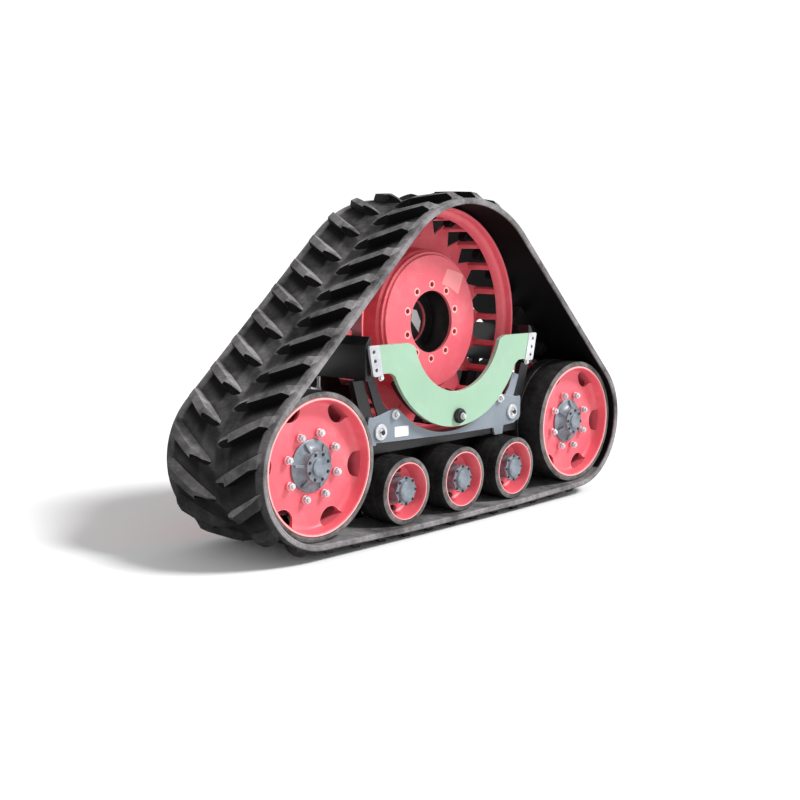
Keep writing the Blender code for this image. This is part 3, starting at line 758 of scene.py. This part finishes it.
def make_drum():
    """The mounting disc with its stud holes and lipped edge, and a near-black lining of its bore that
    stands for the shade in the bore, a painted shade.
    """
    low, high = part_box("hub_drum")
    face, depth = low.y, high.y - low.y
    profile = [(0.0, 0.1405), (0.0, 0.297), (0.003, 0.300), (0.011, 0.3015), (0.013, 0.304)]
    profile += [(0.013, 0.311), (0.016, 0.313), (0.030, 0.313), (0.040, 0.322)]
    profile += [(depth, 0.332), (depth, 0.316), (0.046, 0.306), (0.016, 0.290), (0.016, 0.1405)]
    drum = turned_from(face, profile, 160)
    # The bore's lining, near black as painted shade inside the bore.
    end = depth - 0.002
    profile = [(0.016, 0.1405), (0.016, 0.1465), (end, 0.1465), (end, 0.1010)]
    profile += [(end - 0.003, 0.1010), (end - 0.003, 0.1405)]
    wheel_piece("bore_tube", turned_from(face, profile), PAINTED_BORE_SHADE, 0.0005, ("hub_drum",))
    faded = [(0.066, 0.168), (0.104, 0.236), (0.160, 0.224), (0.217, 0.206)]
    faded += [(0.200, 0.160), (0.182, 0.118), (0.126, 0.150)]
    patch = extruded(rounded(faded, 0.006, 3), face - 0.0004, face + 0.001)
    wheel_piece("faded_patch", patch, FADED_RED)
    holes = [(*polar(DRIVE_BOLT_CIRCLE, 36 * i + 18), 0.0115) for i in range(10)]
    drum = drilled(drum, holes, face - 0.01, face + 0.03)
    wheel_piece("hub_drum_shell", drum, RED, 0.001, ("hub_drum",))
    proud, sunk = face - 0.0005, face + 0.001
    seat = turned([(proud, 0.0122), (proud, 0.0185), (sunk, 0.0195), (sunk, 0.0122)], 32)
    seats = joined([(seat, moved(x=x, z=z)) for x, z, _ in holes])
    wheel_piece("stud_seats", seats, PALE_RED)


def make_spindle():
    """The dark spindle at the bottom of the bore, with its bolts, and the bearing round it."""
    low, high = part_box("drive_spindle")
    y, end = low.y, high.y
    profile = [(y, 0), (y, 0.157), (y + 0.002, 0.160), (y + 0.014, 0.160), (y + 0.016, 0.157)]
    profile += [(y + 0.017, 0.118), (y + 0.022, 0.110), (end - 0.012, 0.110), (end - 0.010, 0.108)]
    profile += [(end - 0.010, 0.062), (end - 0.008, 0.058), (end - 0.002, 0.056), (end, 0.053), (end, 0)]
    spindle = turned(profile, 96)
    stands_for = ("drive_spindle",)
    piece("spindle", spindle, "drive_wheel", DARK_STEEL, DRIVE_AT, 0.0, 0.001, stands_for)
    outline = [(0.030, 0.050), (0.060, 0.042), (0.088, -0.010), (0.074, -0.060), (0.022, -0.004)]
    tag = extruded(outline, y - 0.0012, y + 0.001)
    piece("blank_tag", tag, "drive_wheel", BLANK, DRIVE_AT, bevel=0.0003)
    bolt = together(hexagon(0.0125, y + 0.0155, y + 0.026), round_washer(0.016, y + 0.0155, 0.0025))
    bolts = joined(ring_of(bolt, 12, 0.139))
    piece("spindle_bolts", bolts, "drive_wheel", ZINC, DRIVE_AT, bevel=0.0008)

    low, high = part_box("drive_bearing")
    groove = ((0.0, 0.132), (0.003, 0.130), (0.003, 0.120), (0.0, 0.118))
    profile = [(low.y, 0.1395)] + [(low.y + depth, radius) for depth, radius in groove]
    profile += [(low.y, 0.1112), (high.y, 0.1112)]
    profile += [(high.y - depth, radius) for depth, radius in reversed(groove)] + [(high.y, 0.1395)]
    race = turned(profile, 96)
    frame_piece("bearing_race", race, STEEL, 0.0006, ("drive_bearing",), DRIVE_AT)


def make_drive_wheel():
    make_cage()
    make_drum()
    make_spindle()


# ---- idlers


def idler_rim():
    """Barrel with a flat disc near its outer edge; six scallops open the disc to the barrel."""
    half = IDLER_HALF_WIDTH
    profile = [
        (-half, 0.2740), (-half + 0.004, 0.2775), (half, 0.2775), (half, 0.268), (-0.010, 0.264),
        (-0.020, 0.252), (-0.028, 0.222), (-0.028, 0.0628), (-0.040, 0.0628), (-0.040, 0.212),
        (-0.038, 0.236), (-0.040, 0.248), (-0.046, 0.256), (-0.056, 0.260), (-0.078, 0.2625),
        (-half + 0.004, 0.2640), (-half, 0.267),
    ]
    rim = turned(profile, 144)
    outline = [polar(0.0545, angle, (0.2575, 0)) for angle in range(100, 261, 10)]
    outline = [(0.2590, 0.0560)] + outline[1:-1] + [(0.2590, -0.0560)]
    outline += [polar(0.2635, angle) for angle in (-11, -7, -3, 0, 3, 7, 11)]
    cutter = extruded(rounded(outline, 0.006, 2, corners=(0, 16)), -0.0585, -0.006)
    return cut(rim, joined([(cutter, round_y(60 * i - 5.5)) for i in range(6)]))


def tyre(inner, outer, half, lines, facets):
    """A solid tyre: rounded shoulders, sidewall step and mould lines round the tread face."""
    depth = outer - inner
    profile = [(half, inner), (half, inner + depth * 0.45), (half - 0.0015, inner + depth * 0.55)]
    profile += [(half - 0.0015, outer - 0.007), (half - 0.004, outer - 0.002), (half - 0.009, outer)]
    other = [(-y, radius) for y, radius in reversed(profile)]
    for at in lines:
        profile += [(at + 0.003, outer), (at, outer - 0.0018), (at - 0.003, outer)]
    mesh = turned(profile + other, facets)
    layer = mesh.attributes.new("dust_light_mark", "FLOAT", "FACE")
    for i, face in enumerate(mesh.polygons):
        spot = face.center
        on_side = abs(spot.y) > half - 0.004
        on_line = any(abs(spot.y - at) < 0.003 for at in lines)
        layer.data[i].value = 0.95 if on_side else (0.8 if on_line else 0.14)
    return mesh


def worn_lip(half, inner, outer, facets):
    """Pale ring on the outer lip of a rim, where the paint is rubbed away."""
    return band(inner, outer, -half - 0.0003, -half + 0.001, facets)


def idler_hub():
    """Ribbed conical hub with its flange, and a bolted round cap that ends at the wheel's face."""
    back = size("rear_idler_near_hub").y - IDLER_HALF_WIDTH
    cone = [(back, 0), (back, 0.062), (-0.0405, 0.0615), (-0.0405, 0.103)]
    cone += [(-0.0425, 0.107), (-0.0475, 0.107), (-0.0495, 0.104), (-0.0510, 0.094)]
    cone += [(-0.0550, 0.080), (-0.0650, 0.068), (-0.0815, 0.0600), (-0.0815, 0)]
    inner, outer, half = 0.050, 0.1035, 0.0055
    rib = extruded([(inner, -half), (outer, -half), (outer, half), (inner, half)], -0.0812, -0.046)
    for vertex in rib.vertices:
        if vertex.co.x > 0.09 and vertex.co.y < -0.07:
            vertex.co.x, vertex.co.y = 0.0985, -0.0610
    cap = [(-0.0805, 0), (-0.0805, 0.0605), (-0.0825, 0.0625), (-0.0870, 0.0625)]
    cap += [(-0.0890, 0.0605), (-0.0892, 0.040), (-0.0905, 0.0375), (-0.0975, 0.0365)]
    cap += [(-0.0992, 0.0340), (-0.0998, 0.020), (-0.1000, 0)]
    ear = rod(0.0105, -0.0892, -0.0810, 24)
    parts = [(turned(cone, 96), Matrix()), (turned(cap, 96), Matrix())]
    parts += [(rib, round_y(60 * i)) for i in range(6)]
    parts += ring_of(ear, 8, IDLER_CAP_CIRCLE, 12)
    return joined(parts)


def idler_nuts():
    """Nut, washer and stud end."""
    stud = turned([(-0.0770, 0), (-0.0765, 0.0078), (-0.0755, 0.0088), (-0.040, 0.0088), (-0.040, 0)], 20)
    washer = round_washer(0.0165, -0.0525, 0.0025)
    nut = together(hexagon(0.0158, -0.0680, -0.0515), washer, stud)
    return joined(ring_of(nut, 8, IDLER_BOLT_CIRCLE))


def place_wheel(body, turn, parts):
    """An idler or roller; the last word of each part is the kind of node it stands for."""
    at = middle(body + "_tyre")
    for name, mesh, slot, finish, bevel, kind in parts:
        stands_for = (f"{body}_{kind}",) if kind else ()
        piece(f"{body}_{name}", mesh, body, finish, at, turn, bevel, stands_for)


def make_idlers():
    rim, hub, nuts = idler_rim(), idler_hub(), idler_nuts()
    boss = turned([(-0.0500, 0), (-0.0500, 0.0150), (-0.0390, 0.0175), (-0.0390, 0)], 24)
    bosses = joined(ring_of(boss, 8, IDLER_BOLT_CIRCLE))
    bolt = together(hexagon(0.0058, -0.0935, -0.0888), round_washer(0.0075, -0.0900, 0.0014))
    bolts = joined(ring_of(bolt, 8, IDLER_CAP_CIRCLE, 12))
    lip = worn_lip(IDLER_HALF_WIDTH, 0.2682, 0.2738, 144)
    ring = tyre(0.2775, IDLER_RADIUS, IDLER_HALF_WIDTH, (0.035,), 144)
    for end, nut_turn, rib_turn in (("front", 28.3, 53), ("rear", 19.0, 27)):
        for side, turn in (("near", 0.0), ("far", math.pi)):
            parts = (
                ("wheel", rim, "red_paint", RED, 0.0012, "rim"),
                ("worn_lip", lip, "red_paint", PALE_RED, 0.0, None),
                ("bosses", swung(bosses, nut_turn), "red_paint", RED, 0.0006, None),
                ("rubber", ring, "tyre_rubber", TYRE, 0.0, "tyre"),
                ("casting", swung(hub, rib_turn), "cast_hub", CAST, 0.0010, "hub"),
                ("nuts", swung(nuts, nut_turn), "zinc", ZINC, 0.0006, None),
                ("cap_bolts", swung(bolts, rib_turn), "zinc", DARK_STEEL, 0.0004, None),
            )
            place_wheel(f"{end}_idler_{side}", turn, parts)


# ---- rollers


def roller_rim():
    half = ROLLER_HALF_WIDTH
    profile = [
        (-half, 0.1225), (-half + 0.003, 0.1245), (half, 0.1245), (half, 0.1165), (0.016, 0.108),
        (0.008, 0.100), (0.006, 0.065), (-0.006, 0.065), (-0.006, 0.094), (-0.012, 0.103),
        (-0.024, 0.1075), (-0.070, 0.1155), (-half + 0.002, 0.1175), (-half, 0.119),
    ]
    return turned(profile, 96)


def roller_hub():
    """Barrel hub with an eight-lobed flange at its outer end and a round cap."""
    back = size("roller_1_near_hub").y - 0.088
    barrel = [(back, 0), (back, 0.052), (0.0065, 0.052), (0.0065, 0.0635), (-0.0065, 0.0635)]
    barrel += [(-0.0065, 0.055), (-0.060, 0.053), (-0.068, 0.0545), (-0.068, 0)]
    lobes = []
    for i in range(96):
        angle = 360 * i / 96
        lobes.append(polar(0.0605 + 0.0030 * math.cos(math.radians(8 * angle)), angle))
    flange = extruded(lobes, -0.0765, -0.0670)
    cap = [(-0.0765, 0), (-0.0765, 0.0455), (-0.0800, 0.0445), (-0.0855, 0.0425)]
    cap += [(-0.0872, 0.0395), (-0.0880, 0.020), (-0.0880, 0)]
    return together(turned(barrel, 64), flange, turned(cap, 64))


def roller_bolts():
    """Cap bolts in the lobes, and nuts on the bowl's base."""
    bolt = together(hexagon(0.0052, -0.0815, -0.0764), round_washer(0.0066, -0.0772, 0.0010))
    nut = together(hexagon(0.0105, -0.0230, -0.0055), round_washer(0.0125, -0.0080, 0.0020))
    return joined(ring_of(bolt, 8, 0.0560) + ring_of(nut, 6, 0.0820, 20))


def make_rollers():
    rim, hub, bolts = roller_rim(), roller_hub(), roller_bolts()
    lip = worn_lip(ROLLER_HALF_WIDTH, 0.1194, 0.1222, 96)
    ring = tyre(0.1247, ROLLER_RADIUS, ROLLER_HALF_WIDTH, (-0.028, 0.030), 96)
    parts = (
        ("wheel", rim, "red_paint", RED, 0.0010, "rim"),
        ("worn_lip", lip, "red_paint", PALE_RED, 0.0, None),
        ("rubber", ring, "tyre_rubber", TYRE, 0.0, "tyre"),
        ("casting", hub, "cast_hub", CAST, 0.0008, "hub"),
        ("nuts", bolts, "zinc", DARK_STEEL, 0.0004, None),
    )
    for number in (1, 2, 3):
        for side, turn in (("near", 0.0), ("far", math.pi)):
            place_wheel(f"roller_{number}_{side}", turn, parts)


# ---- frame


def refined(node, finish, bevel, body="frame"):
    """A CAD node redrawn with its flats merged and its edges rounded."""
    bm = bmesh.new()
    bm.from_mesh(frame["nodes"][node].data)
    bmesh.ops.remove_doubles(bm, verts=bm.verts, dist=1e-5)
    bmesh.ops.dissolve_limit(bm, angle_limit=math.radians(1), verts=bm.verts, edges=bm.edges)
    mesh = mesh_from(bm, node)
    piece(node + "_finished", mesh, body, finish, bevel=bevel, stands_for=(node,))


def make_yoke_plate():
    """The green plate with its hollow top edge, a stiffener behind it and a bolted rubber bush."""
    low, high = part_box("yoke_plate")
    centre = (0, DRIVE_Z)
    outer, inner = 0.458, 0.300
    wing = high.x
    top, shelf = high.z, high.z - 0.120
    corner = math.degrees(math.asin((DRIVE_Z - shelf + 0.016) / outer))
    meeting = polar(outer, -corner, centre)
    foot = wing - WING_SLANT
    right = [meeting, (0.435, shelf), (foot, shelf), (wing, top)]
    left = [(-x, z) for x, z in reversed(right)]
    outline = rounded(left, 0.02, 4, corners=(2,))
    outline += arc(centre, outer, 180 + corner, 360 - corner, 72)[1:-1]
    outline += rounded(right, 0.02, 4, corners=(1,))
    outline += [(0.330, top), (0.297, top - 0.012)]
    outline += arc(centre, inner, -17, -163, 72)
    outline += [(-0.297, top - 0.012), (-0.330, top)]
    at = middle("yoke_bush")
    plate = extruded(outline, low.y, high.y)
    plate = drilled(plate, [(0, at.z, 0.0145)], low.y - 0.01, high.y + 0.01)
    frame_piece("green_yoke", plate, GREEN, 0.002, ("yoke_plate",))

    low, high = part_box("yoke_backing")
    outline = arc(centre, 0.452, 212, 328, 72) + arc(centre, 0.400, 328, 212, 72)
    stiffener = extruded(outline, low.y, high.y + 0.008)
    frame_piece("yoke_stiffener", stiffener, BLACK, 0.002, ("yoke_backing",))

    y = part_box("yoke_bush")[0].y
    profile = [(0.004, 0.012), (0.001, 0.024), (0.003, 0.029), (0.010, 0.0335)]
    profile += [(0.021, 0.034), (0.024, 0.031), (0.024, 0.012)]
    bush = turned_from(y, profile, 64)
    at.y = 0
    frame_piece("yoke_rubber_bush", bush, DARK_STEEL, 0.0008, ("yoke_bush",), at)
    bolt = together(
        hexagon(0.0125, y - 0.014, y - 0.004),
        round_washer(0.0155, y - 0.004, 0.003),
        round_washer(0.0080, y - 0.018, 0.004),
        round_washer(0.0115, y - 0.001, 0.045),
    )
    frame_piece("yoke_bolt", bolt, ZINC, 0.0006, ("yoke_bush",), at)


def make_brackets():
    """Zinc plates that lean with the ends of the green plate, with three holes and a bolt below."""
    for end, side in (("front", -1), ("rear", 1)):
        node = end + "_slot_bracket"
        low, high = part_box(node)
        outer, inner = (low.x, high.x) if side < 0 else (high.x, low.x)

        def lean(x, z):
            return x - side * WING_SLANT * (high.z - z) / (high.z - low.z), z

        corners = [lean(outer, low.z), lean(inner, low.z), lean(inner, high.z), lean(outer, high.z)]
        plate = extruded(rounded(corners, 0.012, 5, corners=(0, 3)), low.y, high.y - 0.008)
        hole_x, middle_z = (outer * 3 + inner * 2) / 5, (low.z + high.z) / 2
        holes = [(*lean(hole_x, middle_z + offset), 0.0080) for offset in (-0.038, 0.0, 0.038)]
        plate = drilled(plate, holes, low.y - 0.01, high.y + 0.01)
        frame_piece(end + "_bracket_plate", plate, ZINC, 0.0012, (node,))
        y = high.y - 0.0085
        stud = rod(0.0075, y, y + 0.001, 24)
        studs = joined([(stud, moved(x=x, z=z)) for x, z, _ in holes])
        frame_piece(end + "_bracket_studs", studs, DARK_STEEL)
        bolt = together(hexagon(0.0105, -0.012, 0.0), round_washer(0.0135, -0.003, 0.003))
        x, z = lean((outer + inner * 3) / 4, low.z - 0.006)
        bolts = joined([(bolt, moved(x, low.y + 0.006, z))])
        frame_piece(end + "_bracket_bolts", bolts, ZINC, 0.0006)


def plate_arm(side):
    """A raised arm of the side plate, as (x, z) points; the rear one stops lower."""
    outer = [(0.462, 0.525), (0.486, 0.580), (0.504, 0.630)]
    inner = [(0.458, 0.645), (0.432, 0.580), (0.398, 0.535)]
    if side < 0:
        outer += [(0.524, 0.675), (0.533, 0.705)]
        inner = [(0.485, 0.705), (0.472, 0.665), (0.455, 0.620)] + inner[1:]
    return [(side * x, z) for x, z in outer + inner]


def side_plate_outline():
    """Grey plate with a hollow top edge that follows the drive wheel, seen along Y."""
    left = [(-0.500, 0.530), (-0.520, 0.515), (-0.520, 0.430), (-0.505, 0.406), (-0.470, 0.400)]
    left = rounded(left, 0.012, 3)
    bottom = [(0.000, 0.396), (0.316, 0.393), (0.330, 0.357), (0.385, 0.357)]
    bottom += [(0.392, 0.397), (0.470, 0.400)]
    right = rounded([(0.500, 0.406), (0.520, 0.430), (0.520, 0.522), (0.505, 0.532)], 0.010, 3)
    tab = [(0.385, 0.545), (0.362, 0.549), (0.338, 0.545)]
    top = arc((0, DRIVE_Z), 0.487, -49.5, -130.5, 64)
    return left + bottom + right + tab + top + [(-x, z) for x, z in reversed(tab)]


def make_side_plates():
    """The grey plates at both sides with their arms and bolts, and a blank plate on the near one."""
    # Painted shade: the front arm is the grey plate's arm in shade, so it is finished black; the rear arm
    # keeps the grey.
    arms = (("front", -1, "black_paint", BLACK), ("rear", 1, "grey_paint", GREY))
    for name, side in (("near", -1), ("far", 1)):
        node = name + "_side_plate"
        low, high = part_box(node)
        plate = extruded(side_plate_outline(), low.y, high.y)
        frame_piece(name + "_grey_plate", plate, GREY, 0.0018, (node,))
        for end, x_side, slot, finish in arms:
            arm = extruded(plate_arm(x_side), low.y + 0.001, high.y - 0.001)
            frame_piece(f"{name}_{end}_arm", arm, finish, 0.0018, (node,))
        face = low.y if side < 0 else high.y
        turn = Matrix() if side < 0 else Matrix.Rotation(math.pi, 4, "Z")
        washer, stud = round_washer(0.0215, -0.009, 0.009), round_washer(0.0070, -0.027, 0.006)
        bolt = together(hexagon(0.0125, -0.022, -0.008), washer, stud)
        spots = [(-0.362, 0.524), (0.356, 0.530)]
        bolts = joined([(bolt, moved(x, face, z) @ turn) for x, z in spots])
        frame_piece(name + "_plate_bolts", bolts, ZINC, 0.0008)
    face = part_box("near_side_plate")[0].y
    outline = rounded([(-0.360, 0.425), (-0.273, 0.423), (-0.273, 0.467), (-0.360, 0.469)], 0.003, 3)
    blank = extruded(outline, face - 0.0012, face + 0.001)
    frame_piece("blank_plate", blank, BLANK, 0.0004)


def make_adjuster():
    """Threaded fitting below the front box beam that the belt tensioner is pumped through."""
    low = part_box("front_box_beam")[0]
    steps = [(-0.004, 0.0), (-0.004, 0.010), (0.012, 0.010), (0.012, 0.0062)]
    for k in range(6):
        steps += [(0.014 + 0.004 * k, 0.0062), (0.016 + 0.004 * k, 0.0080)]
    steps += [(0.040, 0.0062), (0.040, 0.0125), (0.052, 0.0125)]
    steps += [(0.052, 0.0070), (0.066, 0.0060), (0.066, 0.0)]
    barrel = (turned(steps, 24), Matrix.Rotation(math.pi / 2, 4, "Z"))
    stem = (rod(0.0075, -0.002, 0.052, 20), Matrix.Rotation(math.pi / 2, 4, "X"))
    at = (low.x + 0.022, 0, low.z - 0.044)
    frame_piece("adjuster_fitting", joined([barrel, stem]), ZINC, 0.0005, at=at)


def make_frame_pins():
    """Washer and end of the pin at each end of the frame."""
    for end in ("front", "rear"):
        node = end + "_frame_pin"
        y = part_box(node)[0].y
        profile = [(0.0225, 0), (0.0225, 0.036), (0.017, 0.0365), (0.013, 0.034)]
        profile += [(0.012, 0.020), (0.016, 0.018), (0.016, 0)]
        disc = turned_from(y, profile, 48)
        pin = turned_from(y, [(0.0, 0), (0.0, 0.009), (0.002, 0.011), (0.018, 0)], 32)
        at = (middle(node).x, 0, middle(node).z)
        frame_piece(end + "_pin_washer", disc, ZINC, 0.0008, (node,), at)
        frame_piece(end + "_pin_end", pin, DARK_STEEL, 0.0006, (node,), at)


def make_carrier():
    """The plate behind the drive wheel that carries its bearing, with a bolted cover ring."""
    low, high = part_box("bearing_carrier")
    centre = (0, DRIVE_Z)
    outline = arc(centre, 0.195, 215, -35, 72)
    top = 0.684
    foot = [(0.440, top), (high.x, top), (high.x, low.z), (low.x, low.z), (low.x, top), (-0.440, top)]
    outline += rounded(foot, 0.02, 4)
    plate = extruded(outline, low.y, high.y)
    plate = drilled(plate, [(0, DRIVE_Z, 0.140)], low.y - 0.01, high.y + 0.01, 96)
    frame_piece("carrier_plate", plate, BLACK, 0.002, ("bearing_carrier",))
    ring = band(0.136, 0.178, high.y - 0.001, high.y + 0.006, 96)
    frame_piece("bearing_cover", ring, BLACK, 0.001, at=DRIVE_AT)
    bolt = hexagon(0.009, high.y + 0.005, high.y + 0.013)
    bolts = joined(ring_of(bolt, 12, 0.160, 15))
    frame_piece("cover_bolts", bolts, ZINC, 0.0006, at=DRIVE_AT)


def make_box_beams():
    """Narrow beams across the unit behind the brackets, with a slanted outer top corner."""
    inner = 0.536
    outer = inner + 0.030
    for name, side in (("front_box_beam", -1), ("rear_box_beam", 1)):
        low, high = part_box(name)
        section = [(inner, low.z), (outer, low.z), (outer, high.z - 0.034)]
        section += [(inner + 0.008, high.z), (inner, high.z)]
        outline = rounded([(side * x, z) for x, z in section], 0.003, 3)
        beam = extruded(outline, low.y, high.y)
        frame_piece(name + "_finished", beam, BLACK, 0.0015, (name,))


def make_frame():
    for node in ("centre_keel", "front_cross_member", "rear_cross_member"):
        refined(node, BLACK, 0.003)
    make_box_beams()
    for node in ("near_side_frame", "far_side_frame"):
        refined(node, BLACK, 0.003)
    refined("tension_barrel", BLACK, 0.001)
    refined("tension_yoke", BLACK, 0.003, "tension_fork")
    refined("tension_rod", STEEL, 0.001, "tension_fork")
    refined("front_idler_axle", STEEL, 0.002, "tension_fork")
    for node in ("rear_idler_axle", "roller_1_axle", "roller_2_axle", "roller_3_axle"):
        refined(node, STEEL, 0.002)
    make_yoke_plate()
    make_brackets()
    make_side_plates()
    make_frame_pins()
    make_adjuster()
    make_carrier()


# ---- floor, light and camera


def make_stage():
    """A large pale floor under the unit."""
    bm = bmesh.new()
    reach = 40.0
    corners = ((-reach, -reach), (reach, -reach), (reach, reach), (-reach, reach))
    bm.faces.new([bm.verts.new((x, y, 0)) for x, y in corners])
    mesh = bpy.data.meshes.new("floor")
    bm.to_mesh(mesh)
    bm.free()
    floor = linked("floor", mesh)
    floor.location.z = -0.0005
    n = Nodes("floor_paper")
    tone = n.mix(n.noise(0.6, 2.0), linear((246, 246, 246)), linear((250, 250, 250)))
    n.wire(tone, n.shader.inputs["Base Color"])
    n.shader.inputs["Roughness"].default_value = 0.9
    floor.data.materials.append(n.material)


def make_lights():
    """A bright horizon, a dimmer sky above it and a large soft key light from the camera's right."""
    world = bpy.data.worlds.new("studio")
    world.use_nodes = True
    tree = world.node_tree
    background = tree.nodes["Background"]
    place = tree.nodes.new("ShaderNodeTexCoord")
    split = tree.nodes.new("ShaderNodeSeparateXYZ")
    ramp = tree.nodes.new("ShaderNodeMapRange")
    set_range(ramp, 0.30, 0.60, 1.05, 0.42)
    tree.links.new(place.outputs["Generated"], split.inputs["Vector"])
    tree.links.new(split.outputs["Z"], ramp.inputs["Value"])
    tree.links.new(ramp.outputs["Result"], background.inputs["Strength"])
    background.inputs["Color"].default_value = (1.0, 1.0, 1.0, 1.0)
    scene = bpy.context.scene
    scene.world = world
    scene.view_settings.view_transform = "Standard"
    key = bpy.data.lights.new("key", "SUN")
    key.energy = 3.4
    key.angle = math.radians(14)
    made = linked("key", key)
    made.location = (4.0, -5.8, 7.1)
    made.rotation_euler = Vector((-0.40, 0.58, -0.71)).to_track_quat("-Z", "Y").to_euler()


def make_camera():
    """A camera that looks at the unit from the front left, a little above it."""
    azimuth, elevation, roll = math.radians(-46.956), math.radians(7.586), math.radians(0.451)
    distance = 4.889
    target = Vector((-0.4188, -0.265, 0.5993))
    level = math.cos(elevation)
    back = Vector((math.sin(azimuth) * level, -math.cos(azimuth) * level, math.sin(elevation)))
    across = Vector((0, 0, 1)).cross(back).normalized()
    upward = back.cross(across)
    right = across * math.cos(roll) + upward * math.sin(roll)
    up = upward * math.cos(roll) - across * math.sin(roll)
    camera = bpy.data.cameras.new("camera")
    camera.lens = 52.776
    camera.sensor_width = 36.0
    made = linked("camera", camera)
    turn = Matrix((right, up, back)).transposed().to_4x4()
    made.matrix_world = Matrix.Translation(target + back * distance) @ turn
    bpy.context.scene.camera = made


def main():
    make_stage()
    make_lights()
    make_camera()
    make_belt()
    make_drive_wheel()
    make_idlers()
    make_rollers()
    make_frame()
    bpy.context.view_layer.update()


main()
